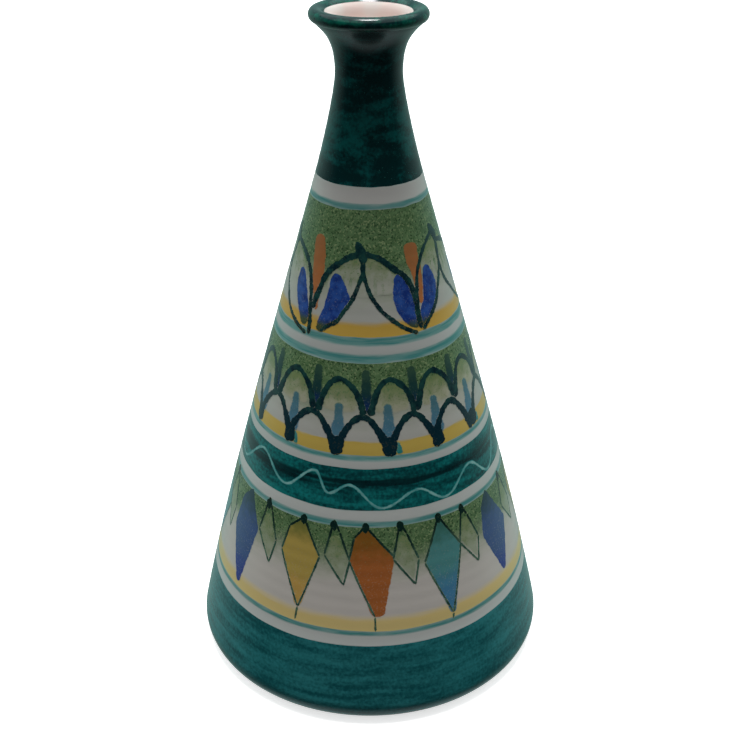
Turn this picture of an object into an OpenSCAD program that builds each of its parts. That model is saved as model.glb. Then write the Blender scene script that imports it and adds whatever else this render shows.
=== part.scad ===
// Conical bottle vase in painted, tin-glazed earthenware.
// The clay is a slab base, a conical wall, a flaring neck and a rolled rim.
// Thin coats of glaze lie over it, one node for each painted zone.
// Millimetres, +Z up, origin at the centre of the foot on the table.

/* [Body] */
// Radius the side of the cone would have at table height
foot_r = 62.4; // [58:0.2:68]
// Height where the cone ends and the neck begins
shoulder_z = 171.4; // [168:0.2:176]
// Outer radius at the shoulder
shoulder_r = 16.6; // [15:0.2:20]
// How far the side swells beyond a straight cone
belly = 9.4; // [0:0.2:12]
// How low the swelling sits: 0 is halfway up, 1 is near the foot
belly_skew = 0.7; // [0:0.05:1]
// Radius of the rounded outer edge of the foot
edge_r = 7.3; // [5:0.1:8]
// Thickness of the wall, glaze included
wall_t = 5.5; // [4:0.5:7]

/* [Base] */
// Inner radius of the flat ring that stands on the table
foot_ring_in = 46; // [38:1:50]
// Depth of the hollow inside the foot ring
recess = 1.6; // [0.5:0.1:3]
// Height of the glazed floor inside
floor_z = 9; // [8:0.5:11]
// Radius of the rounded corner between floor and wall inside
floor_fillet = 8; // [4:0.5:12]

/* [Neck] */
// Height of the narrowest place of the neck outside
waist_z = 201.8; // [200:0.2:204]
// Outer radius at the narrowest place
waist_r = 10.2; // [10:0.1:13]
// Radius of the straight throat inside
throat_r = 6.5; // [4:0.25:6.5]
// Height where the throat starts
throat_z0 = 196; // [190:1:198]
// Height where the throat ends
throat_z1 = 207; // [204:0.5:208]

/* [Rim] */
// Total height of the vase
height = 220.5; // [219:0.5:222]
// Outer radius of the rolled rim
rim_r = 17.75; // [16.5:0.05:19]
// Radius of the bead on the outside of the rim
bead_r = 2; // [1.5:0.1:2.5]
// Radius of the wider roll on the inside of the rim
lip_r = 4; // [2.5:0.1:4.5]

/* [Glaze] */
// Thickness of each coat of glaze
glaze_t = 0.4; // [0.2:0.05:0.6]
// Top of the green band round the foot
foot_band_top = 29.4; // [26:0.2:30]
// Top of the lowest white line
white_1_top = 33; // [31:0.2:34]
// Top of the thin line over it
teal_1_top = 34.6; // [34.2:0.2:37]
// Top of the frieze of lozenges
lozenge_top = 69; // [60:0.2:70]
// Top of the thin line over the lozenges
teal_2_top = 71; // [70.2:0.2:73]
// Top of the second white line
white_2_top = 74.4; // [73.2:0.2:76]
// Top of the band with the scratched wave
wave_top = 87.6; // [84:0.2:89]
// Top of the third white line
white_3_top = 90; // [89.2:0.2:91]
// Top of the thin line over it
teal_3_top = 91.8; // [91.2:0.2:94]
// Top of the frieze of arches
arch_top = 120; // [114:0.2:121]
// Top of the thin line over the arches
teal_4_top = 122.6; // [121.2:0.2:123]
// Top of the fourth white line
white_4_top = 125.2; // [124:0.2:126.4]
// Top of the thin line over it
teal_5_top = 127.8; // [126.6:0.2:130]
// Top of the frieze of leaves
leaf_top = 164.8; // [157:0.2:165.2]
// Top of the thin line over the leaves
teal_6_top = 166.6; // [165.4:0.2:167.8]

/* [Hidden] */
$fn = 128;

// Colours of the clay and the glazes
clay_colour = [0.72, 0.56, 0.42];
white_colour = [0.86, 0.84, 0.80];
teal_colour = [0.16, 0.42, 0.40];
green_colour = [0.03, 0.25, 0.24];
sponge_colour = [0.42, 0.52, 0.34];

// Longest straight step when a curved side is cut into cones
station = 9;
// Steps in each curve of the neck, and in each round corner
curve_steps = 8;
// Height where the wall stands on the base slab, outside
joint_z = 10;
// Angle on the foot's round edge where the glaze was wiped off
wipe_angle = -66;
// The bare clay steps in by this much below the glaze, and is chamfered as much
bare_step = 0.4;
// Angles round the rim's section: where the neck meets the bead outside, the
// crown, where green glaze meets white lining, and where the funnel meets it
bead_start = -62;
crown = 90;
green_end = 135;
lip_end = 215;

// Centres of the two arcs of the rim, one above the other
bead_c = [rim_r - bead_r, height - bead_r];
lip_c = [rim_r - bead_r, height - lip_r];

// Outer radius and slope of the conical side at height z
function lerp(a, b, t) = a + (b - a) * t;
function wall_r(z) =
    let (s = z / shoulder_z)
    lerp(foot_r, shoulder_r, s) + belly * s * (1 - s) * (1 - belly_skew * s);
function wall_slope(z) =
    let (s = z / shoulder_z)
    (shoulder_r - foot_r + belly * (1 - 2 * (1 + belly_skew) * s + 3 * belly_skew * s * s))
    / shoulder_z;

// A point on a curve that runs upwards, moved by off away from the axis
function moved(p, dir, off) = p + off * [dir.y, -dir.x] / norm(dir);
function wall_point(z, off) = moved([wall_r(z), z], [wall_slope(z), 1], off);
function cavity_point(z, off) = moved([wall_r(z) - wall_t, z], [wall_slope(z), 1], off);

// Cubic Bezier curve with four control points
function bezier(p, t) =
    pow(1 - t, 3) * p[0] + 3 * t * pow(1 - t, 2) * p[1]
    + 3 * t * t * (1 - t) * p[2] + pow(t, 3) * p[3];
function bezier_dir(p, t) =
    pow(1 - t, 2) * (p[1] - p[0]) + 2 * t * (1 - t) * (p[2] - p[1]) + t * t * (p[3] - p[2]);
function bezier_path(p, off, first, last) =
    [for (i = [first:last]) let (t = i / curve_steps) moved(bezier(p, t), bezier_dir(p, t), off)];

function arc(c, r, a0, a1, n = curve_steps) =
    [for (i = [0:n]) let (a = lerp(a0, a1, i / n)) c + r * [cos(a), sin(a)]];
function on_bead(off) = arc(bead_c, bead_r + off, bead_start, crown)[0];
function on_lip(off) = arc(lip_c, lip_r + off, lip_end, crown)[0];
function reversed(p) = [for (i = [len(p) - 1:-1:0]) p[i]];
function tail(p) = [for (i = [1:len(p) - 1]) p[i]];

// Heights that cut the side between z0 and z1 into steps, without the last one
function steps(z0, z1) =
    let (n = ceil((z1 - z0) / station))
    [for (i = [0:n - 1]) lerp(z0, z1, i / n)];
function side_path(z0, z1, off) =
    [for (z = concat(steps(z0, z1), [z1])) wall_point(z, off)];

// The round edge of the foot, tangent to the side
side_angle = -atan(wall_slope(0));
edge_top_z = edge_r * (1 + sin(side_angle));
edge_c = [wall_r(edge_top_z) - edge_r * cos(side_angle), edge_r];

// The rounded corner inside, tangent to the floor and to the wall
corner_top_z = floor_z + floor_fillet * (1 + sin(side_angle));
corner_c = [wall_r(corner_top_z) - wall_t - floor_fillet * cos(side_angle), floor_z + floor_fillet];

// The neck outside: inwards to the waist, then out to the bead
neck_in = [
    [shoulder_r, shoulder_z],
    [shoulder_r, shoulder_z] + 8.2 * [wall_slope(shoulder_z), 1],
    [waist_r, waist_z - 5.1],
    [waist_r, waist_z]
];
neck_flare = [
    [waist_r, waist_z],
    [waist_r, waist_z + 8.3],
    on_bead(0) - [4.3, 3.6],
    on_bead(0)
];

// The neck inside: inwards to the throat, then out like a funnel
cavity_top_r = wall_r(shoulder_z) - wall_t;
throat_in = [
    [cavity_top_r, shoulder_z],
    [cavity_top_r, shoulder_z] + 10 * [wall_slope(shoulder_z), 1],
    [throat_r, throat_z0 - 9],
    [throat_r, throat_z0]
];
funnel = [
    [throat_r, throat_z1],
    [throat_r, throat_z1 + 4],
    on_lip(0) - [1.6, 3.2],
    on_lip(0)
];

// Every height at which one glaze gives way to the next
changes = [
    joint_z, foot_band_top, white_1_top, teal_1_top, lozenge_top, teal_2_top,
    white_2_top, wave_top, white_3_top, teal_3_top, arch_top, teal_4_top,
    white_4_top, teal_5_top, leaf_top, teal_6_top, shoulder_z
];

// Outline stretches that clay and glaze share. The glaze's face is at off = 0
function edge_path(off) = arc(edge_c, edge_r + off, wipe_angle, side_angle);
function low_side(off) = side_path(edge_top_z, joint_z, off);
function high_side(off) =
    let (heights = [for (i = [0:len(changes) - 2]) each steps(changes[i], changes[i + 1])])
    [for (z = concat(heights, [shoulder_z])) wall_point(z, off)];
function neck_path(off) = concat(
    bezier_path(neck_in, off, 0, curve_steps - 1),
    bezier_path(neck_flare, off, 0, curve_steps - 1),
    [on_bead(off)]
);
function corner_path(off) = arc(corner_c, floor_fillet + off, -90, side_angle);
function cavity_path(off) =
    [for (z = steps(corner_top_z, shoulder_z)) cavity_point(z, off)];
function throat_path(off) = concat(
    bezier_path(throat_in, off, 0, curve_steps),
    bezier_path(funnel, off, 0, curve_steps - 1),
    [on_lip(-off)]
);
function crown_path(off) = concat(
    arc(bead_c, bead_r + off, bead_start, crown),
    tail(arc(lip_c, lip_r + off, crown, green_end))
);
function lip_path(off) = arc(lip_c, lip_r + off, green_end, lip_end);
function lining_path(off) =
    concat(corner_path(off), tail(cavity_path(off)), throat_path(off));

module turned(outline) {
    rotate_extrude() polygon(outline);
}

// A coat of glaze on the side between two heights
module side_coat(z0, z1) {
    turned(concat(side_path(z0, z1, 0), reversed(side_path(z0, z1, -glaze_t))));
}

module base_slab() {
    edge = edge_path(-glaze_t);
    bare_r = edge[0].x - bare_step;
    color(clay_colour) turned(concat(
        [[0, recess], [foot_ring_in - recess, recess], [foot_ring_in, 0]],
        [[bare_r - bare_step, 0], [bare_r, bare_step]],
        edge,
        tail(low_side(-glaze_t)),
        [corner_path(glaze_t)[0], [0, floor_z - glaze_t]]
    ));
}

module body_wall() {
    color(clay_colour) turned(concat(
        high_side(-glaze_t),
        reversed(concat(
            corner_path(glaze_t), tail(cavity_path(glaze_t)), [throat_path(glaze_t)[0]]
        ))
    ));
}

module neck_collar() {
    color(clay_colour) turned(concat(neck_path(-glaze_t), reversed(throat_path(glaze_t))));
}

module rim_roll() {
    color(clay_colour) turned(concat(crown_path(-glaze_t), tail(lip_path(-glaze_t))));
}

module inner_glaze() {
    color(white_colour) turned(concat(
        [[0, floor_z - glaze_t]],
        lining_path(glaze_t),
        tail(reversed(lip_path(-glaze_t))),
        lip_path(0),
        tail(reversed(lining_path(0))),
        [[0, floor_z]]
    ));
}

module foot_band() {
    color(green_colour) turned(concat(
        edge_path(0),
        tail(low_side(0)),
        tail(side_path(joint_z, foot_band_top, 0)),
        reversed(tail(side_path(joint_z, foot_band_top, -glaze_t))),
        reversed(tail(low_side(-glaze_t))),
        reversed(edge_path(-glaze_t))
    ));
}

module neck_glaze() {
    color(green_colour) turned(concat(neck_path(0), reversed(neck_path(-glaze_t))));
}

module rim_glaze() {
    color(green_colour) turned(concat(crown_path(0), reversed(crown_path(-glaze_t))));
}

module white_line_1() { color(white_colour) side_coat(foot_band_top, white_1_top); }
module teal_line_1() { color(teal_colour) side_coat(white_1_top, teal_1_top); }
module lozenge_frieze() { color(sponge_colour) side_coat(teal_1_top, lozenge_top); }
module teal_line_2() { color(teal_colour) side_coat(lozenge_top, teal_2_top); }
module white_line_2() { color(white_colour) side_coat(teal_2_top, white_2_top); }
module wave_band() { color(green_colour) side_coat(white_2_top, wave_top); }
module white_line_3() { color(white_colour) side_coat(wave_top, white_3_top); }
module teal_line_3() { color(teal_colour) side_coat(white_3_top, teal_3_top); }
module arch_frieze() { color(sponge_colour) side_coat(teal_3_top, arch_top); }
module teal_line_4() { color(teal_colour) side_coat(arch_top, teal_4_top); }
module white_line_4() { color(white_colour) side_coat(teal_4_top, white_4_top); }
module teal_line_5() { color(teal_colour) side_coat(white_4_top, teal_5_top); }
module leaf_frieze() { color(sponge_colour) side_coat(teal_5_top, leaf_top); }
module teal_line_6() { color(teal_colour) side_coat(leaf_top, teal_6_top); }
module white_line_5() { color(white_colour) side_coat(teal_6_top, shoulder_z); }

base_slab();
body_wall();
neck_collar();
rim_roll();
inner_glaze();
foot_band();
white_line_1();
teal_line_1();
lozenge_frieze();
teal_line_2();
white_line_2();
wave_band();
white_line_3();
teal_line_3();
arch_frieze();
teal_line_4();
white_line_4();
teal_line_5();
leaf_frieze();
teal_line_6();
white_line_5();
neck_glaze();
rim_glaze();
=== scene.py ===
"""Looks of a hand-painted, tin-glazed bottle vase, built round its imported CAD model.

Shapes are worked out in millimetres, with angles in degrees from the front of the
vase (-Y), positive towards +X. Only a finished mesh is in metres.
"""

import math

import bmesh
import bpy
import numpy as np
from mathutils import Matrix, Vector


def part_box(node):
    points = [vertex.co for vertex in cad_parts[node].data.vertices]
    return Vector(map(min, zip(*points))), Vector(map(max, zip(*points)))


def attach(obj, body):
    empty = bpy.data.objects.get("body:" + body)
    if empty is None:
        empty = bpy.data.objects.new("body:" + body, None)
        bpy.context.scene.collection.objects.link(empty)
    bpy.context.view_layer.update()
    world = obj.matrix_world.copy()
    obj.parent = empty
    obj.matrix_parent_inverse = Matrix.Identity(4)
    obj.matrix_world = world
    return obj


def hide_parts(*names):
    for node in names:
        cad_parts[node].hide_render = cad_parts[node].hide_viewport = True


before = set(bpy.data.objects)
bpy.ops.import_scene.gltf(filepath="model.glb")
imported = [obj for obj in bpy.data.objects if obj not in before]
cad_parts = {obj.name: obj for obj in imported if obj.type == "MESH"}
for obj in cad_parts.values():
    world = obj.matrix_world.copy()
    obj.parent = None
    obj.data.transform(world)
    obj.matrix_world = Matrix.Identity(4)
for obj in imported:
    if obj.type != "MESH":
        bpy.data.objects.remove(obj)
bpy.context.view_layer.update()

MM = 0.001
SEGMENTS = 288


def top_of(node):
    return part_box(node)[1].z / MM


# ------ Section of the vase
# The same outline as the design, in millimetres

GLAZE_T = 0.4
# A coat's mesh is a little thinner than its CAD solid, so it stays clear of the clay
COAT_T = GLAZE_T * 0.9
HEIGHT = top_of("rim_glaze")
RIM_R = 17.75
SHOULDER_Z = top_of("white_line_5")
FOOT_R = 62.4
SHOULDER_R = 16.6
BELLY = 9.4
BELLY_SKEW = 0.7
EDGE_R = 7.3
WIPE_ANGLE = -66
WALL_T = 5.5
FLOOR_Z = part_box("inner_glaze")[0].z / MM + GLAZE_T
FLOOR_FILLET = 8
WAIST = np.array([10.2, 201.8])
THROAT_R = 6.5
THROAT_Z = (196, 207)
BEAD_R = 2
LIP_R = 4
BEAD_START = -62
CROWN = 90
GREEN_END = 135
LIP_END = 215
BEAD_C = np.array([RIM_R - BEAD_R, HEIGHT - BEAD_R])
LIP_C = np.array([RIM_R - BEAD_R, HEIGHT - LIP_R])
# How far the handles of the outer curves reach, at the shoulder, waist and bead
SHOULDER_REACH = 8.2
WAIST_REACH = (5.1, 8.3)
BEAD_REACH = (4.3, 3.6)
# The same inside, at the cavity's top, the throat and the lip
CAVITY_REACH = 10
THROAT_REACH = (9, 4)
LIP_REACH = (1.6, 3.2)
# Points along each stretch of the outlines
CONE_STEPS, NECK_STEPS, ROUND_STEPS, BEAD_STEPS, LIP_STEPS = 400, 120, 14, 20, 12
FLOOR_STEPS, CAVITY_STEPS, THROAT_STEPS, FUNNEL_STEPS = 10, 60, 30, 24


def wall_r(z):
    """Radius of the wall, a cone with a slight belly, at a height."""
    s = z / SHOULDER_Z
    return FOOT_R + (SHOULDER_R - FOOT_R) * s + BELLY * s * (1 - s) * (1 - BELLY_SKEW * s)


def wall_slope(z):
    s = z / SHOULDER_Z
    swell = 1 - 2 * (1 + BELLY_SKEW) * s + 3 * BELLY_SKEW * s * s
    return (SHOULDER_R - FOOT_R + BELLY * swell) / SHOULDER_Z


def bezier(p, count):
    """Points along a curve from its two ends and their handles."""
    a, b, c, d = np.array(p)
    t = np.linspace(0, 1, count)[:, None]
    return (1 - t) ** 3 * a + 3 * t * (1 - t) ** 2 * b + 3 * t * t * (1 - t) * c + t ** 3 * d


def arc(centre, radius, start, end, count):
    """Points along an arc between two angles in degrees."""
    a = np.radians(np.linspace(start, end, count))[:, None]
    return centre + radius * np.hstack([np.cos(a), np.sin(a)])


def slope_at(z):
    """Direction of the wall at a height, with a rise of 1."""
    return np.array([wall_slope(z), 1])


SIDE_ANGLE = -math.degrees(math.atan(wall_slope(0)))
EDGE_TOP = EDGE_R * (1 + math.sin(math.radians(SIDE_ANGLE)))
EDGE_C = np.array([wall_r(EDGE_TOP) - EDGE_R * math.cos(math.radians(SIDE_ANGLE)), EDGE_R])
BEAD_POINT = arc(BEAD_C, BEAD_R, BEAD_START, BEAD_START, 1)[0]
LIP_POINT = arc(LIP_C, LIP_R, LIP_END, LIP_END, 1)[0]


def outer_side():
    """The outline from the foot's round edge up to the bead."""
    shoulder = np.array([SHOULDER_R, SHOULDER_Z])
    z = np.linspace(EDGE_TOP, SHOULDER_Z, CONE_STEPS)
    cone = np.stack([wall_r(z), z], -1)
    leaving = shoulder + SHOULDER_REACH * slope_at(SHOULDER_Z)
    neck_in = bezier([shoulder, leaving, WAIST - (0, WAIST_REACH[0]), WAIST], NECK_STEPS)
    above = WAIST + (0, WAIST_REACH[1])
    flare = bezier([WAIST, above, BEAD_POINT - BEAD_REACH, BEAD_POINT], NECK_STEPS)
    return np.vstack([cone, neck_in[1:], flare[1:]])


def inner_side():
    """The outline of the lining, from the middle of the floor up to the lip."""
    corner_top = FLOOR_Z + FLOOR_FILLET * (1 + math.sin(math.radians(SIDE_ANGLE)))
    corner_r = wall_r(corner_top) - WALL_T - FLOOR_FILLET * math.cos(math.radians(SIDE_ANGLE))
    corner_c = np.array([corner_r, FLOOR_Z + FLOOR_FILLET])
    corner = arc(corner_c, FLOOR_FILLET, -90, SIDE_ANGLE, ROUND_STEPS)
    floor = np.stack([np.linspace(0, corner_r, FLOOR_STEPS), np.full(FLOOR_STEPS, FLOOR_Z)], -1)
    z = np.linspace(corner_top, SHOULDER_Z, CAVITY_STEPS)
    cavity = np.stack([wall_r(z) - WALL_T, z], -1)
    top = cavity[-1]
    leaving = top + CAVITY_REACH * slope_at(SHOULDER_Z)
    bottom_z, top_z = THROAT_Z
    below = (THROAT_R, bottom_z - THROAT_REACH[0])
    throat_in = bezier([top, leaving, below, (THROAT_R, bottom_z)], THROAT_STEPS)
    above = (THROAT_R, top_z + THROAT_REACH[1])
    funnel = bezier([(THROAT_R, top_z), above, LIP_POINT - LIP_REACH, LIP_POINT], FUNNEL_STEPS)
    lip = arc(LIP_C, LIP_R, LIP_END, GREEN_END, LIP_STEPS)
    return np.vstack([floor, corner[1:], cavity[1:], throat_in[1:], funnel, lip[1:]])


def normals(outline):
    """Unit normals to the right of an outline, which is outwards where it runs upwards."""
    along = np.gradient(outline, axis=0)
    across = np.stack([along[:, 1], -along[:, 0]], -1)
    return across / np.linalg.norm(across, axis=1)[:, None]


SIDE = outer_side()
SIDE_NORMALS = normals(SIDE)


def side_at(z):
    """Radius and outward normal of the outer side at heights z."""
    return [np.interp(z, SIDE[:, 1], values) for values in (SIDE[:, 0], *SIDE_NORMALS.T)]


# ------ Hand-made unevenness

# The shallow rings left by throwing: their depth, pitch and sway, in mm and radians
RING_DEPTH, RING_PITCH, RING_SWAY = 0.016, 4.3, 0.8
# Depth out of round, and the height over which it turns by a radian
OUT_OF_ROUND, OVAL_TWIST = 0.04, 30
# How many waves make up a wandering edge
EDGE_WAVES = 23


def relief(angle, z):
    """How far the thrown surface lies inside the true outline, in mm. Angle in radians."""
    rings = 1 + np.sin(2 * math.pi * z / RING_PITCH + RING_SWAY * np.sin(angle))
    oval = 1 + np.sin(2 * angle + z / OVAL_TWIST)
    return RING_DEPTH * rings + OUT_OF_ROUND * oval / 2


def wobble(angle, seed, size):
    """A smooth, closed, random line round the vase. Angle in radians."""
    rng = np.random.default_rng(seed)
    total = np.zeros_like(angle)
    for turn in range(1, EDGE_WAVES + 1):
        strength = rng.normal() / (2 + turn) ** 0.5
        total += strength * np.sin(turn * angle + rng.uniform(0, 2 * math.pi))
    return size * total


# ------ Meshes

ANGLES = np.linspace(0, 2 * math.pi, SEGMENTS, endpoint=False)
# Stands for a point with no edge of paint near it, in mm
FAR_FROM_EDGE = 9.0
# A coat has a row of faces every mm, but no fewer than these
LEAST_ROWS = 3
# Points closer than this are one point, in metres
WELD = 1e-7


def spin(r, z, angle=ANGLES):
    """Points in metres at a radius and height. Angle in radians."""
    return np.stack([r * np.sin(angle), -r * np.cos(angle), z + 0 * angle], -1) * MM


def lift(angle, z, height):
    """Points in metres at a height over the thrown surface. Angle in radians."""
    r, normal_r, normal_z = side_at(z)
    height = height - relief(angle, z)
    return spin(r + height * normal_r, z + height * normal_z, angle)


def add_object(name, data):
    thing = bpy.data.objects.new(name, data)
    bpy.context.collection.objects.link(thing)
    return thing


def make_piece(name, points, faces, edge, sharp, material):
    """A smooth mesh with each point's distance from the edge of the paint."""
    mesh = bpy.data.meshes.new(name)
    mesh.from_pydata(points.tolist(), [], faces)
    mesh.attributes.new("edge", "FLOAT", "POINT").data.foreach_set("value", edge)
    mesh.shade_smooth()
    marks = mesh.attributes.new("sharp_edge", "BOOLEAN", "EDGE")
    keys = np.array([tuple(sorted(e.vertices)) for e in mesh.edges])
    marks.data.foreach_set("value", sharp(keys))
    mesh.materials.append(material)
    piece = add_object(name, mesh)
    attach(piece, "root")
    return piece


def closed_ring(node, outer, inner, edge, material):
    """A closed ring in place of a CAD node, from rows of points that go round the vase.

    Its section turns sharply at both ends of the outer rows.
    """
    rows = [*outer, *inner]
    count = len(rows)
    faces = []
    for i in range(count):
        for j in range(SEGMENTS):
            near, far = j, (j + 1) % SEGMENTS
            low, high = i * SEGMENTS, (i + 1) % count * SEGMENTS
            faces.append((low + near, low + far, high + far, high + near))
    corners = [0, len(outer) - 1, len(outer), count - 1]

    def sharp(keys):
        row = keys // SEGMENTS
        return (row[:, 0] == row[:, 1]) & np.isin(row[:, 0], corners)

    points = np.concatenate(rows)
    edge = np.concatenate(edge)
    piece = make_piece(node + "_coat", points, faces, edge, sharp, material)
    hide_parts(node)
    return piece


def side_ring(node, low, high, material, foot=()):
    """One coat of glaze round the side, between two wandering edges."""
    count = max(LEAST_ROWS, math.ceil((high - low).mean())) + 1
    heights = [low + (high - low) * t for t in np.linspace(0, 1, count)]
    outer = [*foot, *(lift(ANGLES, z, 0.0) for z in heights)]
    inner = [lift(ANGLES, z, -COAT_T) for z in heights[::-1]]
    if foot:
        under = arc(EDGE_C, EDGE_R - GLAZE_T, SIDE_ANGLE, WIPE_ANGLE, ROUND_STEPS)
        inner += [spin(r, z) for r, z in under[1:]]
    edge = [np.full(SEGMENTS, FAR_FROM_EDGE) for _ in foot]
    edge += [np.minimum(z - low, high - z) for z in heights]
    edge += [np.zeros(SEGMENTS) for _ in inner]
    closed_ring(node, outer, inner, edge, material)


def lathe_ring(node, outline, thickness, material):
    """A coat of even thickness under an outline."""
    under = outline - thickness * normals(outline)
    outer = [spin(r, z) for r, z in outline]
    inner = [spin(r, z) for r, z in under[::-1]]
    edge = [np.full(SEGMENTS, FAR_FROM_EDGE)] * (2 * len(outline))
    return closed_ring(node, outer, inner, edge, material)


def weld_axis(piece):
    """Joins the points that meet on the axis and leaves the mesh closed."""
    mesh = bmesh.new()
    mesh.from_mesh(piece.data)
    bmesh.ops.remove_doubles(mesh, verts=mesh.verts, dist=WELD)
    mesh.to_mesh(piece.data)
    mesh.free()


# ------ Brush strokes

# Spacing of ribs along a stroke, the depth of its hidden underside, the height of the
# first layer of paint, what each further layer adds, and the crown
RIB = 0.55
SUNK = 0.08
FIRST_LAYER = 0.012
LAYER = 0.018
CROWN_HEIGHT = 0.012
# How much a line's width and a patch's sides vary, and the pitches of the waves that
# they vary in, in mm
LINE_UNEVEN = 0.14
PATCH_UNEVEN = 0.12
UNEVEN_PITCHES = (1.7, 3.1, 5.3, 9.7)
# Points across a line, a thin line and a patch
LINE_COLUMNS, THIN_COLUMNS, PATCH_COLUMNS = 7, 5, 15
# A patch's fewest ribs and least half-width, how far its ends are rounded and how far
# its corners are softened
LEAST_RIBS = 6
LEAST_HALF = 0.1
ROUND_END = 0.9
SOFTEN_REACH = 1.1
# The square of a line's width at its very tip, as a share
LINE_TIP = 0.02


def through(points):
    """A smooth line through given points of angle and height, at even steps."""
    p = np.array(points, float)
    p = np.vstack([2 * p[0] - p[1], p, 2 * p[-1] - p[-2]])
    found = []
    for a, b, c, d in zip(p, p[1:], p[2:], p[3:]):
        r = wall_r((b[1] + c[1]) / 2)
        length = math.hypot(math.radians(c[0] - b[0]) * r, c[1] - b[1])
        t = np.linspace(0, 1, max(2, math.ceil(length / RIB)), endpoint=False)[:, None]
        found.append(
            b + 0.5 * t * (c - a + t * (2 * a - 5 * b + 4 * c - d + t * (3 * (b - c) + d - a)))
        )
    return np.vstack([*found, p[-2:-1]])


def line(points, half_width, rng, columns=LINE_COLUMNS, swell=1.0):
    """A brush line. Half-width in mm at its middle; swell multiplies it towards the ends."""
    a, z = through(points).T
    r = wall_r(z)
    step_a = np.gradient(np.radians(a)) * r
    step_z = np.gradient(z)
    length = np.hypot(step_a, step_z)
    along = np.cumsum(length) - length[0]
    end = np.minimum(along, along[-1] - along)
    width = half_width * (1 + uneven(along, rng, LINE_UNEVEN))
    width = width * (1 + (swell - 1) * (1 - 2 * end / along[-1]) ** 2)
    width = width * np.sqrt(np.clip(end / half_width, LINE_TIP, 1))
    t = np.linspace(-1, 1, columns)
    side = width[:, None] * t
    angle = np.radians(a)[:, None] - side * (step_z / length / r)[:, None]
    height = z[:, None] + side * (step_a / length)[:, None]
    edge = np.minimum(width[:, None] * (1 - abs(t)), end[:, None])
    return angle, height, edge, t


def uneven(along, rng, size):
    """Random swelling along a line, from a few waves."""
    total = np.zeros_like(along)
    for pitch in UNEVEN_PITCHES:
        total += np.sin(2 * math.pi * along / pitch + rng.uniform(0, 2 * math.pi))
    return size * total / 2


def patch(rows, rng, bend=True):
    """A filled shape from rows of height, left angle and right angle, from top to bottom."""
    rows = np.array(rows, float)
    depth = rows[0, 0] - rows[:, 0]
    fine = np.linspace(0, depth[-1], max(LEAST_RIBS, math.ceil(depth[-1] / RIB)))
    left = np.interp(fine, depth, rows[:, 1])
    right = np.interp(fine, depth, rows[:, 2])
    if bend:
        left, right = soften(left, fine), soften(right, fine)
    z = rows[0, 0] - fine
    r = wall_r(z)
    left = np.radians(left) + uneven(fine, rng, PATCH_UNEVEN) / r
    right = np.radians(right) + uneven(fine, rng, PATCH_UNEVEN) / r
    middle, half = (left + right) / 2, np.maximum((right - left) / 2, LEAST_HALF / r)
    end = np.minimum(fine, depth[-1] - fine)
    half = half * np.sqrt(np.clip((end + LEAST_HALF) / ROUND_END, 0, 1))
    t = np.sin(np.linspace(-math.pi / 2, math.pi / 2, PATCH_COLUMNS))
    angle = middle[:, None] + half[:, None] * t
    edge = np.minimum((half * r)[:, None] * (1 - abs(t)), end[:, None])
    return angle, z[:, None] + 0 * angle, edge, t


def soften(values, along):
    """Rounds the corners of an edge by a moving average."""
    weights = np.exp(-(((along[:, None] - along) / SOFTEN_REACH) ** 2))
    smooth = weights @ values / weights.sum(axis=1)
    smooth[0], smooth[-1] = values[0], values[-1]
    return smooth


def film(name, strokes, layer, material):
    """All strokes of one colour as one piece of closed, very thin shells on the glaze."""
    points, faces, edges, rims = [], [], [], []
    start = 0
    for angle, z, edge, t in strokes:
        n, m = angle.shape
        top = FIRST_LAYER + LAYER * layer + CROWN_HEIGHT * (1 - t * t)
        points += [lift(angle, z, top).reshape(-1, 3), lift(angle, z, -SUNK).reshape(-1, 3)]
        edges += [edge.ravel(), np.zeros(n * m)]
        grid = start + np.arange(n * m).reshape(n, m)
        facing = (angle[0, 0] < angle[0, -1]) == (z[0, 0] < z[-1, 0])
        faces += shell(grid, grid + n * m, facing)
        rims.append(np.concatenate([grid[0], grid[-1], grid[:, 0], grid[:, -1]]))
        start += 2 * n * m
    rim = np.concatenate(rims)

    def sharp(keys):
        return np.isin(keys, rim).all(axis=1)

    return make_piece(name, np.vstack(points), faces, np.concatenate(edges), sharp, material)


def shell(top, under, facing):
    """Faces of a thin closed shell between two grids of points."""
    quads = []
    for i in range(len(top) - 1):
        for j in range(len(top[0]) - 1):
            quads.append((top[i, j], top[i, j + 1], top[i + 1, j + 1], top[i + 1, j]))
            quads.append((under[i, j], under[i + 1, j], under[i + 1, j + 1], under[i, j + 1]))
    loop = [*zip(top[0], under[0])]
    loop += [*zip(top[1:, -1], under[1:, -1])]
    loop += [*zip(top[-1, -2::-1], under[-1, -2::-1])]
    loop += [*zip(top[-2:0:-1, 0], under[-2:0:-1, 0])]
    for (a, b), (c, d) in zip(loop, loop[1:] + loop[:1]):
        quads.append((a, b, d, c))
    if not facing:
        quads = [quad[::-1] for quad in quads]
    return [tuple(int(v) for v in quad) for quad in quads]


# ------ Shader nodes

# How far apart in the noise two seeds are, along X, Y and Z
SEED_STEP = (3.7, 5.1, 1.9)
# Sizes in mm of the glaze's orange peel, its grain, the ridges that the turning brush
# left and the worn patches
PEEL, GRAIN, RIDGES, WORN = 2.4, 0.5, (16, 16, 0.9), 3.5
# How deep the grain is beside the peel, and how much the roughness varies
GRAIN_SHARE = 0.25
ROUGHNESS_RANGE = 0.12
GLAZE_IOR = 1.5


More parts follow.
